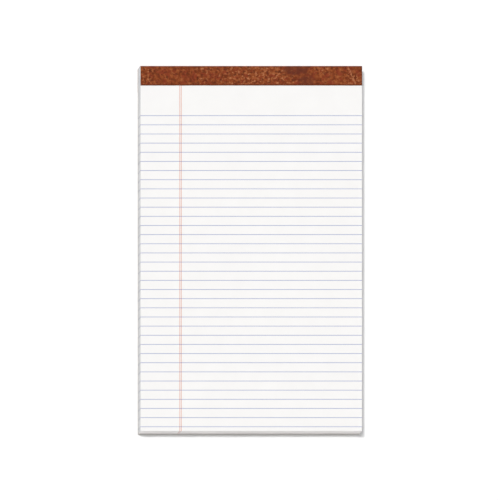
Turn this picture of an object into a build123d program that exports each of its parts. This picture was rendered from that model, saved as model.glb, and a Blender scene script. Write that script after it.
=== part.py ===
"""Legal pad: a block of ruled sheets on a stiff back board, wire stitched near its bound edge.

A leatherette strip is folded over the bound edge and covers the stitches, front and back.
Millimetres, +Z up. The pad lies on its back board, with its bound edge towards +Y.
The origin is the bottom centre of the whole pad's bounding box.
"""

import os

from build123d import *

# Sheets
SHEET_WIDTH = 215.9
SHEET_LENGTH = 355.6
SHEET_COUNT = 50
SHEET_THICKNESS = 0.1

# Back board
BOARD_THICKNESS = 1.0

# Binding strip, folded over the bound edge
STRIP_THICKNESS = 0.18
FRONT_FLAP = 19.05
BACK_FLAP = 22.0
EDGE_RADIUS = 0.4
FLAP_END_CLEARANCE = 0.15

# Wire stitches
STAPLE_NAMES = ("left", "middle", "right")
STAPLE_PITCH = 76.0
STITCH_SETBACK = 9.0
WIRE_DIAMETER = 0.5
CROWN_SPAN = 12.5
CLINCH_LENGTH = 4.2
BEND_RADIUS = 0.7
WIRE_SINK = 0.1
WIRE_CLEARANCE = 0.05

# Worked out from the sizes above
SHEET_STACK = SHEET_COUNT * SHEET_THICKNESS
PAGES_TOP = BOARD_THICKNESS + SHEET_STACK
BED_Z = STRIP_THICKNESS
FREE_EDGE_Y = -(SHEET_LENGTH + STRIP_THICKNESS) / 2
BOUND_EDGE_Y = FREE_EDGE_Y + SHEET_LENGTH
STITCH_Y = BOUND_EDGE_Y - STITCH_SETBACK


def span_box(x_span, y_span, z_span):
    """A box from its low and high value along each axis."""
    box = Box(
        x_span[1] - x_span[0],
        y_span[1] - y_span[0],
        z_span[1] - z_span[0],
        align=(Align.MIN, Align.MIN, Align.MIN),
    )
    return Pos(x_span[0], y_span[0], z_span[0]) * box


def full_width(y_span, z_span):
    """A box as wide as the sheets."""
    return span_box((-SHEET_WIDTH / 2, SHEET_WIDTH / 2), y_span, z_span)


def bound_edges(solid, edge_z):
    """The edge of a solid that runs across its bound end at one height."""
    across = solid.edges().filter_by(Axis.X)
    return [
        edge
        for edge in across
        if abs(edge.center().Y - solid.bounding_box().max.Y) < 1e-6
        and abs(edge.center().Z - edge_z) < 1e-6
    ]


def stitch_line(end_allowance):
    """A staple's centreline in the XZ plane: clinched end, leg, crown, leg, clinched end."""
    leg_x = CROWN_SPAN / 2
    end_x = leg_x - CLINCH_LENGTH - end_allowance
    crown_z = PAGES_TOP - WIRE_SINK - WIRE_DIAMETER / 2
    clinch_z = BED_Z + WIRE_SINK + WIRE_DIAMETER / 2
    corners = [(leg_x, clinch_z), (leg_x, crown_z), (-leg_x, crown_z), (-leg_x, clinch_z)]
    ends = [(end_x, clinch_z), (-end_x, clinch_z)]
    points = [(x, 0, z) for x, z in (ends[0], *corners, ends[1])]
    return FilletPolyline(*points, radius=BEND_RADIUS)


def wire_along(line, diameter):
    """A round wire along a staple's centreline."""
    section = Plane(origin=line @ 0, z_dir=line % 0) * Circle(diameter / 2)
    return sweep(section, path=line)


def staple():
    """One wire stitch, at the middle of the pad's width."""
    return Pos(0, STITCH_Y, 0) * wire_along(stitch_line(0), WIRE_DIAMETER)


def staple_space():
    """What one stitch presses and pierces: its own shape, a little larger, open at crown and clinch."""
    bore = WIRE_DIAMETER + 2 * WIRE_CLEARANCE
    tunnel = wire_along(stitch_line(WIRE_CLEARANCE), bore)
    slot_x = (-CROWN_SPAN / 2, CROWN_SPAN / 2)
    slot_y = (-WIRE_DIAMETER / 2, WIRE_DIAMETER / 2)
    crown_z = PAGES_TOP - WIRE_SINK - WIRE_DIAMETER / 2
    clinch_z = BED_Z + WIRE_SINK + WIRE_DIAMETER / 2
    crown_slot = span_box(slot_x, slot_y, (crown_z, PAGES_TOP + WIRE_SINK))
    clinch_slot = span_box(slot_x, slot_y, (BED_Z - WIRE_SINK, clinch_z))
    return Pos(0, STITCH_Y, 0) * (tunnel + crown_slot + clinch_slot)


def staple_places():
    """The middle of each stitch along the pad's width."""
    first_x = -STAPLE_PITCH * (len(STAPLE_NAMES) - 1) / 2
    return [first_x + STAPLE_PITCH * i for i in range(len(STAPLE_NAMES))]


def stitched(solid):
    """A solid of the stack with room for every stitch."""
    space = staple_space()
    for x in staple_places():
        solid -= Pos(x, 0, 0) * space
    return solid


def page_block():
    """All the sheets, with the front one's bound edge rounded by the strip that is pulled over it."""
    block = full_width((FREE_EDGE_Y, BOUND_EDGE_Y), (BOARD_THICKNESS, PAGES_TOP))
    block = fillet(bound_edges(block, PAGES_TOP), EDGE_RADIUS)
    return stitched(block)


def back_board():
    """The board, pressed in under the strip's back flap so that the pad lies flat."""
    bed_start = BOUND_EDGE_Y - BACK_FLAP - FLAP_END_CLEARANCE
    board = full_width((FREE_EDGE_Y, BOUND_EDGE_Y), (BED_Z, BOARD_THICKNESS))
    board = fillet(bound_edges(board, BED_Z), EDGE_RADIUS)
    board += full_width((FREE_EDGE_Y, bed_start), (0, BED_Z))
    return stitched(board)


def wrapped_stack(skin):
    """The stack's bound end as the strip sees it, a skin larger all round."""
    reach = max(FRONT_FLAP, BACK_FLAP) + 1
    stack = full_width(
        (BOUND_EDGE_Y - reach, BOUND_EDGE_Y + skin), (BED_Z - skin, PAGES_TOP + skin)
    )
    corners = bound_edges(stack, BED_Z - skin) + bound_edges(stack, PAGES_TOP + skin)
    return fillet(corners, EDGE_RADIUS + skin)


def binding_strip():
    """The strip: the skin round the bound end, cut to its two flaps."""
    middle_z = (BED_Z + PAGES_TOP) / 2
    front = full_width(
        (BOUND_EDGE_Y - FRONT_FLAP, BOUND_EDGE_Y + STRIP_THICKNESS),
        (middle_z, PAGES_TOP + STRIP_THICKNESS),
    )
    back = full_width(
        (BOUND_EDGE_Y - BACK_FLAP, BOUND_EDGE_Y + STRIP_THICKNESS), (0, middle_z)
    )
    skin = wrapped_stack(STRIP_THICKNESS) - wrapped_stack(0)
    return skin & (front + back)


def nodes():
    """Every sub-part by name, where it lies."""
    made = {
        "page_block": page_block(),
        "back_board": back_board(),
        "binding_strip": binding_strip(),
    }
    for name, x in zip(STAPLE_NAMES, staple_places()):
        made[f"staple_{name}"] = Pos(x, 0, 0) * staple()
    return made


os.makedirs("parts", exist_ok=True)
for name, shape in nodes().items():
    export_step(shape, f"parts/{name}.step")
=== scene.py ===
"""The looks of a legal pad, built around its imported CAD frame.

Metres, in the frame's own axes: +Z out of the writing face, +Y towards the bound edge.
"""

import math
import random

import bpy
from mathutils import Matrix, Vector, noise


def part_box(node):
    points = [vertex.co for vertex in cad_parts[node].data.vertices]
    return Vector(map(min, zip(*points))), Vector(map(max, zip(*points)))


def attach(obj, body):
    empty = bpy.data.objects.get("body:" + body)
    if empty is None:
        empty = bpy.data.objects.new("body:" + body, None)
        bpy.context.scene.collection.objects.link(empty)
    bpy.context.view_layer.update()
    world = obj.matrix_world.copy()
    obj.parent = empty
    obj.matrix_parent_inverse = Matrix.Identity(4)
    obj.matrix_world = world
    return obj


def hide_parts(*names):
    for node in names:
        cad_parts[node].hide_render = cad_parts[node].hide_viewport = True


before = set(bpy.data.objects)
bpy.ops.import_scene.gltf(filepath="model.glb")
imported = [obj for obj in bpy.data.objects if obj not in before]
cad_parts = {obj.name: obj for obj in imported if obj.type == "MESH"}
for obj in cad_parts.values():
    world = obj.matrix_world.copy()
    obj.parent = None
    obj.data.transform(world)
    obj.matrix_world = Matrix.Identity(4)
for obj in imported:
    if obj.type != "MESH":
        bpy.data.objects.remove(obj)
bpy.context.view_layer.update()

MM = 0.001

# Two places closer than this are one place
SAME_PLACE = 0.01 * MM


def ys_at(node, height):
    """The y of each vertex that a CAD node has at some height."""
    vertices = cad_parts[node].data.vertices
    return [v.co.y for v in vertices if abs(v.co.z - height) < SAME_PLACE]


# Places and sizes that the frame gives
SHEETS_LOW, SHEETS_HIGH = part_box("page_block")
BOARD_LOW, BOARD_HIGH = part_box("back_board")
STRIP_LOW, STRIP_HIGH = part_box("binding_strip")
STAPLES = ("staple_left", "staple_middle", "staple_right")
LEFT_X, RIGHT_X = SHEETS_LOW.x, SHEETS_HIGH.x
FREE_Y, BOUND_Y = SHEETS_LOW.y, SHEETS_HIGH.y
STRIP_THICKNESS = STRIP_HIGH.z - SHEETS_HIGH.z
BED_Z = BOARD_LOW.z + STRIP_THICKNESS
BED_START_Y = max(ys_at("back_board", BOARD_LOW.z))
FRONT_END_Y = min(ys_at("binding_strip", STRIP_HIGH.z))
BACK_END_Y = min(ys_at("binding_strip", STRIP_LOW.z))

# The part's own rounding of the stack's bound edge
EDGE_RADIUS = 0.4 * MM

# Sheets. Each is drawn in by a shift of its own, and by a wave that runs along its edges
SHEET_COUNT = 50
SHEET_GROOVE = 0.035 * MM
SHEET_SHIFT = 0.05 * MM
SHEET_SHIFT_SEED = 11
SHEET_WAVE = 0.02 * MM
SHEET_WAVE_LENGTH = 30 * MM
WAVE_STEP_PER_SHEET = 0.9
WAVE_STEP_PER_SIDE = 7.3
WALL_STEP = 9 * MM

# Up a sheet's edge, as shares of its thickness: where its groove ends, and where its ink starts
GROOVE_END = 0.2
INK_START = 0.4
LEVELS_PER_SHEET = 3

# Printed ruling
RULE_COUNT = 35
RULE_PITCH = 8.916 * MM
LAST_RULE_UP = 4.04 * MM
RULE_WIDTH = 0.5 * MM
MARGIN_FROM_LEFT = 39.0 * MM
MARGIN_LINE_PITCH = 1.4 * MM
MARGIN_LINE_WIDTH = 0.55 * MM
MARGIN_UNDER_STRIP = 1 * MM
INK_SUNK = 0.01 * MM
RULE_PROUD = 0.02 * MM
MARGIN_PROUD = 0.03 * MM
INK_END_INSET = 0.03 * MM

# Tear-off line, just below the strip. The corners of its cuts stay clear of the grid's lines
TEAR_BELOW_STRIP = 1.6 * MM
TEAR_PITCH = 1.1 * MM
TEAR_CUT = 0.75 * MM
TEAR_WIDTH = 0.12 * MM
TEAR_DEPTH = 0.1 * MM
TEAR_CLEARANCE = 0.02 * MM
TEAR_Y = FRONT_END_Y - TEAR_BELOW_STRIP
TEAR_ROWS = (TEAR_Y - TEAR_WIDTH / 2, TEAR_Y, TEAR_Y + TEAR_WIDTH / 2)

# Slots that the staples' crowns are pressed into
CROWN_ROOM = 0.05 * MM
CROWN_SLOT_DEPTH = 0.6 * MM

# Binding strip. Its grain fades out towards its edges, and a staple shows where it faces up
STRIP_STEP = 0.7 * MM
FOLD_STEPS = 8
STRIP_GRAIN = 0.018 * MM
COARSE_GRAIN_SIZE = 1.3 * MM
FINE_GRAIN_SIZE = 0.75 * MM
FINE_GRAIN_SHARE = 0.6
GRAIN_FADE = 1.5 * MM
CUT_END_SHARE = 0.72
STRIP_EDGE_WAVE = 0.06 * MM
EDGE_WAVE_LENGTH = 5.3 * MM
EDGE_WAVE_ROWS = 2
STAPLE_RIDGE = 0.07 * MM
STAPLE_RIDGE_WIDTH = 0.55 * MM
FACING_UP = 0.5

# The strip's print: heights on the front flap, and areas as middle x, middle y and both reaches
UPPER_Y = BOUND_Y - 4 * MM
MIDDLE_Y = (BOUND_Y + STRIP_LOW.y) / 2
LOWER_Y = FRONT_END_Y + 4 * MM
TAN_AREAS = (
    (8 * MM, MIDDLE_Y, 62 * MM, 30 * MM),
    (99 * MM, LOWER_Y, 15 * MM, 15 * MM),
    (-45 * MM, UPPER_Y, 14 * MM, 8 * MM),
    (-47 * MM, LOWER_Y, 8 * MM, 7 * MM),
    (-104 * MM, MIDDLE_Y, 11 * MM, 30 * MM),
    (70 * MM, UPPER_Y, 14 * MM, 7 * MM),
)
MAROON_AREA = (43 * MM, UPPER_Y, 21 * MM, 9 * MM)
MAROON_TAIL = (54 * MM, LOWER_Y, 15 * MM, 12 * MM)
VEIN_START = (97 * MM, UPPER_Y, 0.0)
AREA_DEPTH = 30 * MM

# Back board
BOARD_STEP = 4 * MM
BED_SLOPE = 0.05 * MM
BOARD_PLIES = 4
FACING_SHARE = 0.15
BOARD_BEVEL = 0.12 * MM
BOARD_FUZZ = 0.05 * MM
BOARD_FUZZ_SIZE = 1.2 * MM

# Camera: the film is parallel to the sheet, and the light reaches it at a slant. It aims a little
# off the middle of the writing face
CAMERA_HEIGHT = 6.0
CAMERA_SLANT = Vector((-0.48, -0.60, 1.0)) * CAMERA_HEIGHT
CAMERA_AIM = Vector((-1.25 * MM, -1.5 * MM, 0))
FRAMED_WIDTH = 0.4872
FILM_WIDTH = 36.0
FARTHEST_SEEN = 100

# Floor
FLOOR_SIZE = 60

# Light. Each lamp has its name, its strength, where it stands and its width in degrees
ZENITH_LIGHT = 0.23
HORIZON_LIGHT = 0.5
HORIZON_BAND = 0.35
LAMPS = (
    ("key", 2.33, (-0.87, 0.46, 1.0), 18),
    ("key_front_edge", 0.45, (-0.80, -0.35, 1.0), 16),
    ("key_back_edge", 0.65, (-0.30, 0.42, 1.0), 20),
    ("front_fill", 0.63, (0.15, -1.0, 0.12), 15),
    ("side_fill", 0.42, (1.0, 0.1, 0.45), 30),
)

# Most of a noise lies between these values
NOISE_LOW, NOISE_HIGH = 0.3, 0.7

# Material slots of the sheets, after the first, which is their face
SIDE_EDGES, END_EDGES, BLUE_ON_EDGE, RED_ON_EDGE = range(1, 5)

# Material slots of the strip
PRINT, CORE = range(2)


# Small helpers


def spread(low, high, step):
    """Evenly spaced values from low to high, about step apart."""
    count = max(1, round((high - low) / step))
    return [low + (high - low) * i / count for i in range(count + 1)]


def merged(values):
    """Sorted values, without those that fall on another."""
    kept = []
    for value in sorted(values):
        if not kept or value - kept[-1] > SAME_PLACE:
            kept.append(value)
    return kept


def line_at(lines, place):
    """Which of some grid lines lies at a place."""
    return min(range(len(lines)), key=lambda n: abs(lines[n] - place))


# Materials


class Shader:
    """A Principled material and short ways to add the nodes that feed it."""

    def __init__(self, name, roughness=0.8, specular=0.5):
        self.material = bpy.data.materials.new(name)
        self.material.use_nodes = True
        self.tree = self.material.node_tree
        self.out = self.tree.nodes["Principled BSDF"]
        self.out.inputs["Roughness"].default_value = roughness
        self.out.inputs["Specular IOR Level"].default_value = specular
        self.place = self.node("ShaderNodeTexCoord").outputs["Object"]

    def node(self, kind, **settings):
        """A new node, with its settings."""
        made = self.tree.nodes.new(kind)
        for name, value in settings.items():
            setattr(made, name, value)
        return made

    def feed(self, value, socket):
        """Links a socket, or sets a plain value."""
        if isinstance(value, bpy.types.NodeSocket):
            self.tree.links.new(value, socket)
        else:
            socket.default_value = value

    def noise(self, size, detail=2.0, rough=0.5, distortion=0.0, stretch=None, at=None):
        """Noise whose blotches are about size metres across."""
        place = at or self.place
        if stretch:
            scaled = self.node("ShaderNodeVectorMath", operation="MULTIPLY")
            self.feed(place, scaled.inputs[0])
            scaled.inputs[1].default_value = stretch
            place = scaled.outputs[0]
        made = self.node("ShaderNodeTexNoise")
        self.feed(place, made.inputs["Vector"])
        made.inputs["Scale"].default_value = 1 / size
        made.inputs["Detail"].default_value = detail
        made.inputs["Roughness"].default_value = rough
        made.inputs["Distortion"].default_value = distortion
        return made.outputs["Fac"]

    def cells(self, size, feature="F1", at=None):
        """Distance to the nearest cell centre or cell edge, in cells about size metres across."""
        made = self.node("ShaderNodeTexVoronoi", feature=feature)
        self.feed(at or self.place, made.inputs["Vector"])
        made.inputs["Scale"].default_value = 1 / size
        return made.outputs["Distance"]

    def warped(self, size, amount, shift=0.0):
        """The place, pushed about by noise, and first by shift so that patterns there differ."""
        start = self.node("ShaderNodeVectorMath", operation="ADD")
        self.feed(self.place, start.inputs[0])
        start.inputs[1].default_value = (shift, shift, shift)
        made = self.node("ShaderNodeTexNoise")
        self.feed(start.outputs[0], made.inputs["Vector"])
        made.inputs["Scale"].default_value = 1 / size
        scaled = self.node("ShaderNodeVectorMath", operation="SCALE")
        self.feed(made.outputs["Color"], scaled.inputs[0])
        scaled.inputs["Scale"].default_value = amount
        moved = self.node("ShaderNodeVectorMath", operation="ADD")
        self.feed(start.outputs[0], moved.inputs[0])
        self.feed(scaled.outputs[0], moved.inputs[1])
        return moved.outputs[0]

    def axis(self, name):
        """One coordinate of the place."""
        made = self.node("ShaderNodeSeparateXYZ")
        self.feed(self.place, made.inputs[0])
        return made.outputs[name]

    def maths(self, operation, a, b=0.0):
        """The result of one operation on a, or on a and b."""
        made = self.node("ShaderNodeMath", operation=operation)
        self.feed(a, made.inputs[0])
        self.feed(b, made.inputs[1])
        return made.outputs[0]

    def between(self, value, low, high, to_low=0.0, to_high=1.0):
        """Value, with low to high mapped smoothly to to_low to to_high."""
        made = self.node("ShaderNodeMapRange", interpolation_type="SMOOTHSTEP")
        self.feed(value, made.inputs["Value"])
        made.inputs["From Min"].default_value = low
        made.inputs["From Max"].default_value = high
        made.inputs["To Min"].default_value = to_low
        made.inputs["To Max"].default_value = to_high
        return made.outputs["Result"]

    def ridges(self, size, low, high, at=None):
        """1 along wandering lines about size metres apart, where noise crosses its middle value."""
        field = self.noise(size, detail=1, at=at)
        off = self.maths("ABSOLUTE", self.maths("SUBTRACT", field, 0.5))
        crest = self.maths("SUBTRACT", 1.0, self.maths("MULTIPLY", off, 4.0))
        return self.between(crest, low, high)

    def line(self, place, normal, point, reach):
        """1 on a line through point, square to normal, falling to 0 at reach metres from it."""
        unit = Vector(normal).normalized()
        made = self.node("ShaderNodeVectorMath", operation="DOT_PRODUCT")
        self.feed(place, made.inputs[0])
        made.inputs[1].default_value = unit
        off = self.maths("SUBTRACT", made.outputs["Value"], unit.dot(Vector(point)))
        return self.between(self.maths("ABSOLUTE", off), 0.0, reach, 1.0, 0.0)

    def patch(self, centre, radii):
        """1 at centre, falling to 0 at the radii along each axis."""
        moved = self.node("ShaderNodeVectorMath", operation="SUBTRACT")
        self.feed(self.place, moved.inputs[0])
        moved.inputs[1].default_value = centre
        scaled = self.node("ShaderNodeVectorMath", operation="DIVIDE")
        self.feed(moved.outputs[0], scaled.inputs[0])
        scaled.inputs[1].default_value = radii
        length = self.node("ShaderNodeVectorMath", operation="LENGTH")
        self.feed(scaled.outputs[0], length.inputs[0])
        return self.between(length.outputs["Value"], 0.0, 1.0, 1.0, 0.0)

    def ramp(self, value, *stops):
        """A colour for value, from (position, colour) stops."""
        made = self.node("ShaderNodeValToRGB")
        self.feed(value, made.inputs["Fac"])
        band = made.color_ramp
        while len(band.elements) < len(stops):
            band.elements.new(1.0)
        for element, (position, colour) in zip(band.elements, stops):
            element.position = position
            element.color = (*colour, 1.0)
        return made.outputs["Color"]

    def mix(self, share, a, b):
        """Colours or values a and b, mixed by share."""
        made = self.node("ShaderNodeMix", data_type="RGBA")
        self.feed(share, made.inputs["Factor"])
        self.feed(a if isinstance(a, bpy.types.NodeSocket) else (*a, 1.0), made.inputs[6])
        self.feed(b if isinstance(b, bpy.types.NodeSocket) else (*b, 1.0), made.inputs[7])
        return made.outputs[2]

    def two_tone(self, value, dark, light):
        """A colour between dark and light, by a noise's value."""
        return self.ramp(value, (NOISE_LOW, dark), (NOISE_HIGH, light))

    def colour(self, socket):
        """Sets the base colour."""
        self.feed(socket, self.out.inputs["Base Color"])

    def roughness(self, value, low, high):
        """Sets the roughness, from low to high by a noise's value."""
        varied = self.between(value, NOISE_LOW, NOISE_HIGH, low, high)
        self.feed(varied, self.out.inputs["Roughness"])

    def bump(self, height, depth):
        """Relief of about depth metres."""
        made = self.node("ShaderNodeBump")
        made.inputs["Distance"].default_value = depth
        made.inputs["Strength"].default_value = 1.0
        self.feed(height, made.inputs["Height"])
        self.feed(made.outputs["Normal"], self.out.inputs["Normal"])


def sheet_face():
    """Smooth white bond paper, with a faint cloudiness and fine fibres."""
    s = Shader("white_bond_paper", specular=0.3)
    cloud = s.noise(18 * MM, detail=3)
    fibres = s.noise(0.5 * MM, detail=3, rough=0.6)
    tone = s.mix(0.35, cloud, fibres)
    s.colour(s.two_tone(tone, (0.829, 0.819, 0.807), (0.852, 0.843, 0.833)))
    s.roughness(fibres, 0.78, 0.9)
    s.bump(fibres, 0.012 * MM)
    return s.material


def cut_edge(name, dark, light):
    """Guillotined edges of the sheets: thin streaks along them, in broader bands."""
    s = Shader(name, roughness=0.92, specular=0.15)
    streaks = s.noise(0.25 * MM, detail=2, stretch=(0.02, 0.02, 1.0))
    bands = s.noise(1.4 * MM, detail=1, stretch=(0.04, 0.04, 1.0))
    s.colour(s.two_tone(s.mix(0.4, streaks, bands), dark, light))
    return s.material


def ink(name, dark, light):
    """Offset ink on bond paper, a little uneven along its length."""
    s = Shader(name, roughness=0.7, specular=0.3)
    flow = s.noise(6 * MM, detail=2)
    grain = s.noise(0.35 * MM, detail=2)
    s.colour(s.two_tone(s.mix(0.5, flow, grain), dark, light))
    return s.material


class Leatherette(Shader):
    """Printed imitation leather: red-brown, marbled with tan flecks and a maroon cloud, pebbled."""

    def __init__(self):
        super().__init__("leatherette_print", roughness=0.5, specular=0.12)
        self.marbling = self.warped(4.0 * MM, 2.2 * MM)
        self.veining = self.warped(3.0 * MM, 1.8 * MM, shift=0.31)
        self.fine = self.noise(0.42 * MM, detail=2, rough=0.6)
        self.blotches = self.noise(3.1 * MM, detail=3, rough=0.6, at=self.marbling)
        self.pebbles = self.cells(0.85 * MM, "DISTANCE_TO_EDGE", at=self.veining)
        base = self.ground()
        for layer in (
            self.tan_flecks,
            self.dark_blots,
            self.crackle,
            self.maroon_cloud,
            self.pale_vein,
            self.shade_between_pebbles,
            self.dark_edges_and_fold_shade,
        ):
            base = layer(base)
        self.colour(base)
        self.roughness(self.fine, 0.50, 0.66)
        self.bump(self.mix(0.35, self.between(self.pebbles, 0.0, 0.35), self.fine), 0.06 * MM)

    def ragged(self, field, amount):
        """A field, roughened by the fine noise."""
        rough = self.maths("MULTIPLY", self.maths("SUBTRACT", self.fine, 0.5), amount)
        return self.maths("ADD", field, rough)

    def area(self, x, y, reach_x, reach_y):
        """1 at a place on the front flap, falling to 0 at its reach along and across the strip."""
        return self.patch((x, y, STRIP_HIGH.z), (reach_x, reach_y, AREA_DEPTH))

    def ground(self):
        """Red-brown blotches, with redder patches."""
        cloud = self.noise(12 * MM, detail=3, rough=0.55)
        base = self.ramp(
            self.ragged(self.mix(0.22, self.blotches, cloud), 0.10),
            (0.33, (0.088, 0.016, 0.004)),
            (0.43, (0.163, 0.031, 0.007)),
            (0.50, (0.228, 0.047, 0.011)),
            (0.58, (0.292, 0.072, 0.019)),
            (0.68, (0.362, 0.108, 0.034)),
        )
        reds = self.between(self.noise(5 * MM, detail=2, at=self.veining), 0.50, 0.62, 0.0, 0.7)
        return self.mix(reds, base, (0.236, 0.036, 0.014))

    def tan_flecks(self, base):
        """Tan flecks with paler middles, thickest about the middle and near both ends."""
        thick = self.area(*TAN_AREAS[0])
        for place in TAN_AREAS[1:]:
            thick = self.maths("MAXIMUM", thick, self.area(*place))
        flecks = self.ragged(self.noise(2.4 * MM, detail=2, rough=0.5, at=self.veining), 0.12)
        for low, high, least, most, colour in (
            (0.49, 0.60, 0.15, 0.85, (0.362, 0.112, 0.038)),
            (0.60, 0.70, 0.2, 0.9, (0.490, 0.185, 0.085)),
        ):
            strength = self.between(thick, 0.0, 0.7, least, most)
            share = self.maths("MULTIPLY", self.between(flecks, low, high), strength)
            base = self.mix(share, base, colour)
        return base

    def dark_blots(self, base):
        """Dark blots everywhere."""
        blots = self.ragged(self.noise(2.6 * MM, detail=2, rough=0.5, at=self.marbling), 0.14)
        return self.mix(self.between(blots, 0.46, 0.33, 0.0, 0.8), base, (0.092, 0.018, 0.005))

    def crackle(self, base):
        """Short dark lines."""
        lines = self.ridges(3.6 * MM, 0.82, 0.98, at=self.veining)
        lines = self.maths("MULTIPLY", lines, self.between(self.fine, 0.35, 0.6))
        return self.mix(self.maths("MULTIPLY", lines, 0.35), base, (0.10, 0.020, 0.007))

    def maroon_cloud(self, base):
        """A maroon cloud right of the middle, towards the fold, with a tail down to the right."""
        tail = self.maths("MULTIPLY", self.area(*MAROON_TAIL), 0.8)
        inside = self.between(self.maths("MAXIMUM", self.area(*MAROON_AREA), tail), 0.1, 0.7)
        broken = self.between(self.blotches, 0.40, 0.68, 0.92, 0.45)
        return self.mix(self.maths("MULTIPLY", inside, broken), base, (0.118, 0.025, 0.012))

    def pale_vein(self, base):
        """A pale broken vein that runs down across the strip near its right end."""
        vein = self.line(self.marbling, (1.0, 0.42, 0.0), VEIN_START, 2.4 * MM)
        broken = self.maths("SUBTRACT", self.noise(1.6 * MM, detail=3, at=self.veining), 0.5)
        vein = self.maths("ADD", vein, self.maths("MULTIPLY", broken, 2.2))
        return self.mix(self.between(vein, 0.62, 1.0, 0.0, 0.85), base, (0.440, 0.165, 0.072))

    def shade_between_pebbles(self, base):
        """Painted shade, darker in the hollows between the pebbles of the grain."""
        return self.mix(self.between(self.pebbles, 0.0, 0.16, 0.3, 0.0), base, (0.090, 0.018, 0.006))

    def dark_edges_and_fold_shade(self, base):
        """Darker along the cut edges, and painted shade on top along the fold, where the strip turns
        down.
        """
        across, up, along = self.axis("Y"), self.axis("Z"), self.maths("ABSOLUTE", self.axis("X"))
        top = STRIP_HIGH.z
        in_front = self.between(up, BOARD_HIGH.z, BOARD_HIGH.z + 1 * MM)
        flap_end = self.between(in_front, 0.0, 1.0, BACK_END_Y, FRONT_END_Y)
        from_cut = self.maths("SUBTRACT", across, flap_end)
        near_cut = self.between(from_cut, 0.8 * MM, 1.6 * MM, 0.8, 0.0)
        near_side = self.between(along, RIGHT_X - 1.0 * MM, RIGHT_X - 0.4 * MM, 0.0, 0.5)
        # Painted shade on the top face, just before the strip turns over the bound edge
        fold_shade = self.between(across, BOUND_Y - 1.2 * MM, BOUND_Y - 0.3 * MM, 0.0, 0.4)
        on_top = self.between(up, top - 1.2 * MM, top - 0.6 * MM)
        fold_shade = self.maths("MULTIPLY", fold_shade, on_top)
        share = self.maths("MAXIMUM", self.maths("MAXIMUM", near_cut, near_side), fold_shade)
        return self.mix(share, base, (0.115, 0.026, 0.008))


def strip_core():
    """The strip's cut edge, where its paper shows."""
    s = Shader("strip_cut_edge", roughness=0.9, specular=0.2)
    grain = s.noise(0.4 * MM, detail=3)
    s.colour(s.ramp(grain, (0.35, (0.16, 0.07, 0.04)), (0.65, (0.34, 0.19, 0.12))))
    return s.material


def chipboard():
    """Grey board of pulped waste paper, with darker and lighter fibres in it."""
    s = Shader("grey_chipboard", specular=0.2)
    cloud = s.noise(14 * MM, detail=3)
    pulp = s.noise(1.1 * MM, detail=4, rough=0.65)
    fibres = s.noise(0.7 * MM, detail=2, distortion=1.5, stretch=(1.0, 0.3, 1.0))
    tone = s.mix(0.5, s.mix(0.3, pulp, cloud), fibres)
    base = s.two_tone(tone, (0.25, 0.225, 0.19), (0.42, 0.385, 0.335))
    flecks = s.between(s.cells(3.1 * MM), 0.06, 0.12, 0.7, 0.0)
    s.colour(s.mix(flecks, base, (0.10, 0.085, 0.07)))
    s.roughness(pulp, 0.8, 0.95)
    s.bump(tone, 0.05 * MM)
    return s.material


def stitching_wire():
    """Bright drawn steel wire, with fine drawing marks."""
    s = Shader("stitching_steel", roughness=0.35)
    s.out.inputs["Metallic"].default_value = 1.0
    marks = s.noise(0.15 * MM, detail=2, stretch=(0.1, 1.0, 0.1))
    s.colour(s.two_tone(marks, (0.48, 0.49, 0.50), (0.62, 0.63, 0.64)))
    s.roughness(marks, 0.28, 0.42)
    return s.material


# Meshes


class Mesh:
    """Vertices and faces as they are made, with a material slot for each face."""

    def __init__(self):
        self.vertices = []
        self.faces = []
        self.slots = []

    def vertex(self, x, y, z):
        """Adds a vertex, and gives its number."""
        self.vertices.append((x, y, z))
        return len(self.vertices) - 1

    def face(self, corners, slot=0):
        """Adds a face, from its corners' numbers, counter-clockwise from outside."""
        self.faces.append(tuple(corners))
        self.slots.append(slot)

    def box(self, low, high):
        """A closed box."""
        x, y, z = zip(low, high)
        v = [self.vertex(x[i & 1], y[i >> 1 & 1], z[i >> 2]) for i in range(8)]
        for corners in (
            (0, 2, 3, 1), (4, 5, 7, 6), (0, 1, 5, 4), (2, 6, 7, 3), (0, 4, 6, 2), (1, 3, 7, 5),
        ):
            self.face([v[i] for i in corners])

    def pit(self, corners, floor_z):
        """A pit with upright walls, in place of one face."""
        floor = [self.vertex(*self.vertices[v][:2], floor_z) for v in corners]
        count = len(corners)
        for n in range(count):
            after = (n + 1) % count
            self.face((corners[n], corners[after], floor[after], floor[n]))
        self.face(floor)

    def add_piece(self, name, materials, record_slot, replaces=()):
        """This mesh as a piece on the pad's one body."""
        mesh = bpy.data.meshes.new(name)
        mesh.from_pydata(self.vertices, [], self.faces)
        for material in materials:
            mesh.materials.append(material)
        mesh.polygons.foreach_set("material_index", self.slots)
        mesh.validate()
        piece = bpy.data.objects.new(name, mesh)
        bpy.context.scene.collection.objects.link(piece)
        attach(piece, "root")
        if replaces:
            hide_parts(*replaces)
        return piece


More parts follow.
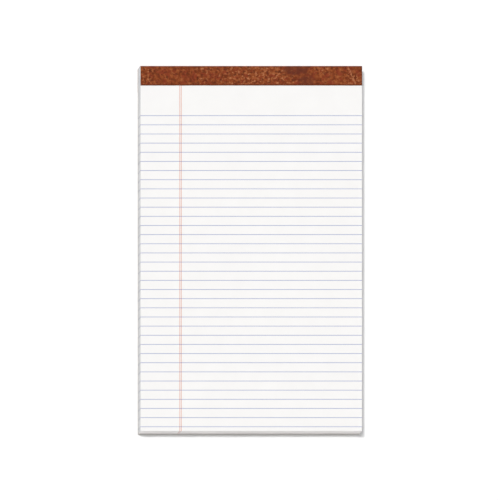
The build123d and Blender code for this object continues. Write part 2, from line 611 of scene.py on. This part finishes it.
class Slab(Mesh):
    """A closed slab: stacked rings of wall vertices, and a grid for its top and its bottom.

    xs and ys are the grid's lines, and every ring has a vertex at each of them. level_at gives
    a ring vertex's place, from its level and where it is on the grid's border.
    """

    def __init__(self, xs, ys, levels, level_at):
        super().__init__()
        self.xs, self.ys = xs, ys
        self.border = self.border_walk()
        self.rings = [
            [self.vertex(*level_at(level, i, j)) for i, j in self.border] for level in levels
        ]

    def border_walk(self):
        """Grid positions round the border, counter-clockwise from the low corner."""
        last_i, last_j = len(self.xs) - 1, len(self.ys) - 1
        walk = [(i, 0) for i in range(last_i)]
        walk += [(last_i, j) for j in range(last_j)]
        walk += [(i, last_j) for i in range(last_i, 0, -1)]
        walk += [(0, j) for j in range(last_j, 0, -1)]
        return walk

    def walls(self, slot_of):
        """The wall faces. slot_of gives each its slot, from its lower ring and two border positions."""
        count = len(self.border)
        for level in range(len(self.rings) - 1):
            low, high = self.rings[level], self.rings[level + 1]
            for n in range(count):
                after = (n + 1) % count
                ends = self.border[n], self.border[after]
                self.face((low[n], low[after], high[after], high[n]), slot_of(level, *ends))

    def grid(self, ring, height):
        """A dictionary from grid position to vertex, for a face that one ring borders."""
        found = {position: ring[n] for n, position in enumerate(self.border)}
        for j in range(1, len(self.ys) - 1):
            for i in range(1, len(self.xs) - 1):
                found[i, j] = self.vertex(self.xs[i], self.ys[j], height(self.ys[j]))
        return found


def fold_inset(past):
    """How far a rounded edge draws back, from how far past the start of its curve a place is."""
    if past <= 0:
        return 0.0
    return EDGE_RADIUS - math.sqrt(max(0.0, EDGE_RADIUS**2 - past**2))


def crown_box(name):
    """The slot that one staple's crown is pressed into: low x, high x, low y and high y."""
    low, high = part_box(name)
    return low.x - CROWN_ROOM, high.x + CROWN_ROOM, low.y - CROWN_ROOM, high.y + CROWN_ROOM


# Ruling


def line_spans(middles, width):
    """Both edges of each printed line."""
    return [(middle - width / 2, middle + width / 2) for middle in middles]


def rule_spans():
    """The rules' edges on the page, from the last rule up to the first."""
    middles = [FREE_Y + LAST_RULE_UP + RULE_PITCH * i for i in range(RULE_COUNT)]
    return line_spans(middles, RULE_WIDTH)


def margin_spans():
    """The edges of the two margin lines."""
    middle = LEFT_X + MARGIN_FROM_LEFT
    middles = [middle - MARGIN_LINE_PITCH / 2, middle + MARGIN_LINE_PITCH / 2]
    return line_spans(middles, MARGIN_LINE_WIDTH)


def flat(spans):
    """Every end of some spans, in one list."""
    return [end for span in spans for end in span]


def ruling(material):
    """The blue rules, right across the sheet."""
    mesh = Mesh()
    low_x, high_x = LEFT_X + INK_END_INSET, RIGHT_X - INK_END_INSET
    low_z, high_z = SHEETS_HIGH.z - INK_SUNK, SHEETS_HIGH.z + RULE_PROUD
    for low_y, high_y in rule_spans():
        mesh.box((low_x, low_y, low_z), (high_x, high_y, high_z))
    mesh.add_piece("blue_rules", [material], "ruled_paper")


def margin_lines(plain, crossing):
    """The double margin line, darker where it crosses a rule."""
    mesh = Mesh()
    low_z, high_z = SHEETS_HIGH.z - INK_SUNK, SHEETS_HIGH.z + MARGIN_PROUD
    stops = [FREE_Y + INK_END_INSET, *flat(rule_spans()), FRONT_END_Y + MARGIN_UNDER_STRIP]
    for low_x, high_x in margin_spans():
        section = [(low_x, low_z), (high_x, low_z), (high_x, high_z), (low_x, high_z)]
        rows = [[mesh.vertex(x, y, z) for x, z in section] for y in stops]
        mesh.face(rows[0])
        for n, (low, high) in enumerate(zip(rows, rows[1:])):
            on_rule = n % 2
            for a in range(len(section)):
                b = (a + 1) % len(section)
                mesh.face((low[a], high[a], high[b], low[b]), on_rule)
        mesh.face(reversed(rows[-1]))
    mesh.add_piece("margin_lines", [plain, crossing], "ruled_paper")


# The stack of sheets


def sheet_levels():
    """Wall levels of the stack, as (height, sheet, whether it is in a groove)."""
    pitch = (SHEETS_HIGH.z - SHEETS_LOW.z) / SHEET_COUNT
    levels = []
    for sheet in range(SHEET_COUNT):
        base = SHEETS_LOW.z + pitch * sheet
        levels.append((base, sheet, sheet > 0))
        levels.append((base + GROOVE_END * pitch, sheet, False))
        levels.append((base + INK_START * pitch, sheet, False))
    levels.append((SHEETS_HIGH.z, SHEET_COUNT - 1, False))
    return levels


def sheet_shifts():
    """How far each sheet is drawn in on each of its four sides. The top sheet isn't.

    The fourth side is the bound one, which the strip holds in line, so its shift isn't used.
    """
    draw = random.Random(SHEET_SHIFT_SEED)
    shifts = [[draw.random() * SHEET_SHIFT for _ in range(4)] for _ in range(SHEET_COUNT)]
    shifts[-1] = [0.0] * 4
    return shifts


def sheet_ring(xs, ys):
    """A function that places a vertex of the stack's wall: each sheet lies a little out of line."""
    shifts = sheet_shifts()
    left, right, free = range(3)

    def inset(side, along, sheet, in_groove):
        place = (along / SHEET_WAVE_LENGTH, WAVE_STEP_PER_SHEET * sheet, WAVE_STEP_PER_SIDE * side)
        wave = SHEET_WAVE * (1 + noise.noise(Vector(place))) / 2
        return shifts[sheet][side] + wave + (SHEET_GROOVE if in_groove else 0.0)

    def level_at(level, i, j):
        z, sheet, in_groove = level
        x, y = xs[i], ys[j]
        if i == 0:
            x += inset(left, y, sheet, in_groove)
        if i == len(xs) - 1:
            x -= inset(right, y, sheet, in_groove)
        if j == 0:
            y += inset(free, x, sheet, in_groove)
        if j == len(ys) - 1:
            y -= fold_inset(z - (SHEETS_HIGH.z - EDGE_RADIUS))
        return x, y, z

    return level_at


def edge_slots(xs, ys):
    """A function that gives a wall face its slot: bare edge, or the end of a printed line."""
    blue_spans, red_spans = rule_spans(), margin_spans()

    def in_spans(spans, a, b):
        middle = (a + b) / 2
        return any(low < middle < high for low, high in spans)

    def slot_of(level, start, end):
        (i, j), (k, m) = start, end
        printed = level % LEVELS_PER_SHEET == LEVELS_PER_SHEET - 1
        if i == k:
            return BLUE_ON_EDGE if printed and in_spans(blue_spans, ys[j], ys[m]) else SIDE_EDGES
        in_red = printed and j == 0 and in_spans(red_spans, xs[i], xs[k])
        return RED_ON_EDGE if in_red else END_EDGES

    return slot_of


def tear_stations():
    """Where the tear-off line's cuts start, reach their depth, leave it and end, as (x, depth)."""
    slope = TEAR_WIDTH / 2
    stations = []
    for start in spread(LEFT_X + TEAR_PITCH, RIGHT_X - TEAR_PITCH, TEAR_PITCH)[:-1]:
        middle = start + TEAR_PITCH / 2
        low, high = middle - TEAR_CUT / 2, middle + TEAR_CUT / 2
        stations += [(low, 0.0), (low + slope, TEAR_DEPTH), (high - slope, TEAR_DEPTH), (high, 0.0)]
    return stations


def tear_columns(mesh, xs):
    """Vertices of the tear-off line, for its lower edge, its cut and its upper edge.

    Each of the three is a list of columns: the vertices from one grid line up to the next.
    """
    stations = tear_stations()
    rows = []
    for y, is_cut in zip(TEAR_ROWS, (False, True, False)):
        columns = [[] for _ in xs[1:]]
        for column, low, high in zip(columns, xs, xs[1:]):
            for x, depth in stations:
                if low + TEAR_CLEARANCE < x < high - TEAR_CLEARANCE:
                    column.append(mesh.vertex(x, y, SHEETS_HIGH.z - (depth if is_cut else 0.0)))
        rows.append(columns)
    return rows


def top_face(slab, crowns):
    """The top sheet's face, with the tear-off line and a slot for each staple's crown."""
    xs, ys = slab.xs, slab.ys
    top = slab.grid(slab.rings[-1], lambda y: SHEETS_HIGH.z)
    tear_j = line_at(ys, TEAR_ROWS[0])
    crown_j = line_at(ys, crowns[0][2])
    columns = tear_columns(slab, xs)
    floor_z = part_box(STAPLES[0])[1].z - CROWN_SLOT_DEPTH

    def row(j, i):
        """The vertices along grid row j from column i to the next, with the fine ones between."""
        fine = columns[j - tear_j][i] if 0 <= j - tear_j < len(columns) else []
        return [top[i, j], *fine, top[i + 1, j]]

    for j in range(len(ys) - 1):
        for i in range(len(xs) - 1):
            low, high = row(j, i), row(j + 1, i)
            middle = (xs[i] + xs[i + 1]) / 2
            if j == crown_j and any(crown[0] < middle < crown[1] for crown in crowns):
                slab.pit([*low, *reversed(high)], floor_z)
            elif len(low) == len(high):
                for n in range(len(low) - 1):
                    slab.face((low[n], low[n + 1], high[n + 1], high[n]))
            else:
                slab.face([*low, *reversed(high)])


def page_block(materials):
    """Fifty sheets cut flush: grooved walls with the ends of the ruling's ink, and the top face."""
    crowns = [crown_box(name) for name in STAPLES]
    crown_xs = flat(crown[:2] for crown in crowns)
    xs = merged([*spread(LEFT_X, RIGHT_X, WALL_STEP), *flat(margin_spans()), *crown_xs])
    ys = merged([FREE_Y, BOUND_Y, *flat(rule_spans()), *TEAR_ROWS, *crowns[0][2:]])
    slab = Slab(xs, ys, sheet_levels(), sheet_ring(xs, ys))
    slab.walls(edge_slots(xs, ys))
    top_face(slab, crowns)
    slab.face(reversed(slab.rings[0]))
    slab.add_piece("ruled_sheets", materials, "ruled_paper", ["page_block"])


# The binding strip


def fold(centre_z, start_angle):
    """A quarter turn of the strip's inner line, down round the stack's bound edge."""
    centre_y = BOUND_Y - EDGE_RADIUS
    line = []
    for n in range(1, FOLD_STEPS + 1):
        angle = start_angle - math.pi / 2 * n / FOLD_STEPS
        across, up = math.cos(angle), math.sin(angle)
        line.append((centre_y + EDGE_RADIUS * across, centre_z + EDGE_RADIUS * up, across, up))
    return line


def strip_line():
    """The strip's inner line in the YZ plane, as (y, z, outward y, outward z) from flap to flap."""
    turn_y = BOUND_Y - EDGE_RADIUS
    high_z, low_z = SHEETS_HIGH.z - EDGE_RADIUS, BED_Z + EDGE_RADIUS
    line = [(y, SHEETS_HIGH.z, 0.0, 1.0) for y in spread(FRONT_END_Y, turn_y, STRIP_STEP)]
    line += fold(high_z, math.pi / 2)
    line += [(BOUND_Y, z, 1.0, 0.0) for z in spread(high_z, low_z, -STRIP_STEP)[1:]]
    line += fold(low_z, 0.0)
    line += [(y, BED_Z, 0.0, -1.0) for y in spread(turn_y, BACK_END_Y, -STRIP_STEP)[1:]]
    return line


def staple_ridge(x, y, crowns):
    """How far a hidden staple lifts the strip at one place."""
    lift = 0.0
    for low_x, high_x, low_y, high_y in crowns:
        across = (y - (low_y + high_y) / 2) / STAPLE_RIDGE_WIDTH
        past = max(0.0, low_x - x, x - high_x) / STAPLE_RIDGE_WIDTH
        lift = max(lift, STAPLE_RIDGE * math.exp(-(across**2) - past**2))
    return lift


def strip_thickness(x, y, z, rows_in):
    """The strip's thickness with its grain, which fades out at the edges, and its thin cut ends."""
    place = Vector((x, y, z))
    grain = noise.noise(place / COARSE_GRAIN_SIZE)
    grain += FINE_GRAIN_SHARE * noise.noise(place / FINE_GRAIN_SIZE)
    from_edge = min(x - LEFT_X, RIGHT_X - x, rows_in * STRIP_STEP)
    relief = min(1.0, from_edge / GRAIN_FADE) * STRIP_GRAIN * grain / 2
    thickness = STRIP_THICKNESS - STRIP_GRAIN + relief
    return thickness * CUT_END_SHARE if rows_in == 0 else thickness


def edge_wave(x, row):
    """How far a cut end strays from its straight line.

    The noise is 0 wherever all three of its coordinates are whole, so the last one isn't.
    """
    dimension, lacunarity, octaves = 0.6, 2.0, 3
    place = Vector((x / EDGE_WAVE_LENGTH, row, 0.37))
    return STRIP_EDGE_WAVE * noise.fractal(place, dimension, lacunarity, octaves)


def strip_vertices(mesh):
    """The strip's outer and inner vertices, as rows from the front flap's end to the back one's."""
    crowns = [crown_box(name) for name in STAPLES]
    line = strip_line()
    outer, inner = [], []
    for n, (y, z, out_y, out_z) in enumerate(line):
        rows_in = min(n, len(line) - 1 - n)
        outer.append([])
        inner.append([])
        for x in spread(LEFT_X, RIGHT_X, STRIP_STEP):
            thickness = strip_thickness(x, y, z, rows_in)
            if out_z > FACING_UP:
                thickness += staple_ridge(x, y, crowns)
            wave = edge_wave(x, n) if rows_in < EDGE_WAVE_ROWS else 0.0
            outer[-1].append(mesh.vertex(x, y + wave + out_y * thickness, z + out_z * thickness))
            inner[-1].append(mesh.vertex(x, y + wave, z))
    return outer, inner


def strip_faces(mesh, outer, inner):
    """Print on the outside, and bare paper on the inside and along the cut edges."""
    last_n, last_i = len(outer) - 1, len(outer[0]) - 1
    for n in range(last_n):
        for i in range(last_i):
            mesh.face((outer[n][i], outer[n][i + 1], outer[n + 1][i + 1], outer[n + 1][i]), PRINT)
            mesh.face((inner[n + 1][i], inner[n + 1][i + 1], inner[n][i + 1], inner[n][i]), CORE)
        for i, flip in ((0, False), (last_i, True)):
            side = [outer[n][i], outer[n + 1][i], inner[n + 1][i], inner[n][i]]
            mesh.face(reversed(side) if flip else side, CORE)
    for n, flip in ((0, True), (last_n, False)):
        for i in range(last_i):
            end = [outer[n][i], outer[n][i + 1], inner[n][i + 1], inner[n][i]]
            mesh.face(reversed(end) if flip else end, CORE)


def binding_strip(materials):
    """One folded strip, with softened cut ends, a low grain and the staples just showing through."""
    mesh = Mesh()
    outer, inner = strip_vertices(mesh)
    strip_faces(mesh, outer, inner)
    piece = mesh.add_piece("leatherette_strip", materials, "leatherette_paper", ["binding_strip"])
    for polygon in piece.data.polygons:
        polygon.use_smooth = polygon.material_index == PRINT


# The back board


def underside(y):
    """The height of the board's lower face, which is pressed in under the back flap."""
    return BED_Z if y > BED_START_Y + SAME_PLACE else BOARD_LOW.z


def board_levels():
    """Wall levels of the board, as (share of its thickness, bevel)."""
    inner_share = 1 - 2 * FACING_SHARE
    shares = [FACING_SHARE + inner_share * n / BOARD_PLIES for n in range(BOARD_PLIES + 1)]
    return [(0.0, BOARD_BEVEL), *[(share, 0.0) for share in shares], (1.0, BOARD_BEVEL)]


def board_ring(xs, ys):
    """A function that places a vertex of the board's wall, which is a little ragged."""

    def level_at(level, i, j):
        share, bevel = level
        x, y = xs[i], ys[j]
        z = underside(y) + (BOARD_HIGH.z - underside(y)) * share
        fuzz = BOARD_FUZZ * (0.5 + 0.5 * noise.noise(Vector((x, y, z)) / BOARD_FUZZ_SIZE))
        drawn = max(bevel, fuzz)
        if i == 0:
            x += drawn
        if i == len(xs) - 1:
            x -= drawn
        if j == 0:
            y += drawn
        if j == len(ys) - 1:
            y -= fold_inset(BED_Z + EDGE_RADIUS - z)
        return x, y, z

    return level_at


def back_board(material):
    """The board: softened edges, slightly ragged plies and a pressed bed under the back flap."""
    xs = spread(BOARD_LOW.x, BOARD_HIGH.x, BOARD_STEP)
    exposed_ys = spread(BOARD_LOW.y, BED_START_Y, BOARD_STEP)
    ys = merged([*exposed_ys, BED_START_Y + BED_SLOPE, BOARD_HIGH.y])
    slab = Slab(xs, ys, board_levels(), board_ring(xs, ys))
    slab.walls(lambda level, start, end: 0)
    for ring, height, flip in (
        (slab.rings[0], underside, True),
        (slab.rings[-1], lambda y: BOARD_HIGH.z, False),
    ):
        grid = slab.grid(ring, height)
        for j in range(len(ys) - 1):
            for i in range(len(xs) - 1):
                corners = [grid[i, j], grid[i + 1, j], grid[i + 1, j + 1], grid[i, j + 1]]
                slab.face(reversed(corners) if flip else corners)
    slab.add_piece("chipboard_back", [material], "chipboard", ["back_board"])


# Floor, light and camera


def floor():
    """A plain pale floor."""
    bpy.ops.mesh.primitive_plane_add(size=FLOOR_SIZE)
    plane = bpy.context.object
    plane.name = "studio_floor"
    s = Shader("studio_floor", roughness=0.9, specular=0.0)
    s.colour(s.ramp(s.noise(0.4), (0.0, (0.93, 0.93, 0.93)), (1.0, (0.95, 0.95, 0.95))))
    plane.data.materials.append(s.material)


def room_light():
    """A white room: bright all round at eye level, dimmer overhead."""
    world = bpy.data.worlds.new("studio")
    bpy.context.scene.world = world
    world.use_nodes = True
    nodes, links = world.node_tree.nodes, world.node_tree.links
    parts = nodes.new("ShaderNodeSeparateXYZ")
    links.new(nodes.new("ShaderNodeTexCoord").outputs["Generated"], parts.inputs[0])
    band = nodes.new("ShaderNodeMapRange")
    band.interpolation_type = "SMOOTHSTEP"
    band.inputs["From Max"].default_value = HORIZON_BAND
    band.inputs["To Min"].default_value = HORIZON_LIGHT
    band.inputs["To Max"].default_value = ZENITH_LIGHT
    links.new(parts.outputs["Z"], band.inputs["Value"])
    background = nodes["Background"]
    background.inputs["Color"].default_value = (1, 1, 1, 1)
    links.new(band.outputs["Result"], background.inputs["Strength"])


def far_lamp(name, strength, towards, angle):
    """A distant lamp, as wide as angle in degrees, standing towards some direction."""
    data = bpy.data.lights.new(name, "SUN")
    data.energy = strength
    data.angle = math.radians(angle)
    lamp = bpy.data.objects.new(name, data)
    bpy.context.scene.collection.objects.link(lamp)
    lamp.rotation_euler = Vector(towards).to_track_quat("Z", "Y").to_euler()


def lights():
    """A white room, a soft key on the upper left with a weaker lamp on each side, and two fills."""
    room_light()
    for lamp in LAMPS:
        far_lamp(*lamp)


def camera():
    """A view camera: its film stays parallel to the sheet, so the sheet stays a true rectangle.

    It stands towards the pad's lower left, so the left and free edges show. The slant is in the
    holder's matrix, as a shear, and the lens has no shift.
    """
    data = bpy.data.cameras.new("camera")
    data.sensor_width = FILM_WIDTH
    data.lens = FILM_WIDTH * CAMERA_SLANT.length / FRAMED_WIDTH
    data.clip_end = FARTHEST_SEEN
    view = bpy.data.objects.new("camera", data)
    bpy.context.scene.collection.objects.link(view)
    holder = bpy.data.objects.new("camera_stand", None)
    bpy.context.scene.collection.objects.link(holder)
    aim = Vector((0, BOUND_Y + FREE_Y, 2 * SHEETS_HIGH.z)) / 2
    aim += CAMERA_AIM
    shear = Matrix.Identity(4)
    shear[0][2] = CAMERA_SLANT.x / CAMERA_SLANT.z
    shear[1][2] = CAMERA_SLANT.y / CAMERA_SLANT.z
    view.parent = holder
    view.matrix_parent_inverse = Matrix.Translation(aim + CAMERA_SLANT) @ shear
    bpy.context.scene.camera = view


def main():
    """Every piece with its materials, then the studio."""
    paper = sheet_face()
    # All four edges are one paper. The sides' darker tone is painted shade, a shaded copy of the
    # ends' tone: the key stands on the left and would leave them nearly white, where the photo shows
    # sides and foot equally grey
    sides = cut_edge("side_edges_painted_shade", (0.415, 0.417, 0.424), (0.54, 0.542, 0.549))
    ends = cut_edge("end_cut_edges", (0.77, 0.747, 0.741), (0.93, 0.902, 0.893))
    edge_blue = ink("blue_ink_on_edge", (0.09, 0.10, 0.18), (0.14, 0.155, 0.26))
    edge_red = ink("margin_ink_on_edge", (0.50, 0.28, 0.24), (0.60, 0.37, 0.33))
    blue = ink("blue_rule_ink", (0.21, 0.24, 0.48), (0.29, 0.32, 0.56))
    red = ink("margin_ink", (0.65, 0.29, 0.215), (0.71, 0.365, 0.29))
    crossing = ink("overprinted_ink", (0.24, 0.13, 0.22), (0.34, 0.20, 0.30))
    page_block([paper, sides, ends, edge_blue, edge_red])
    ruling(blue)
    margin_lines(red, crossing)
    binding_strip([Leatherette().material, strip_core()])
    back_board(chipboard())
    wire = stitching_wire()
    for name in STAPLES:
        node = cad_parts[name]
        node.material_slots[0].material = wire
    floor()
    lights()
    camera()
    bpy.context.scene.view_settings.view_transform = "Standard"


main()
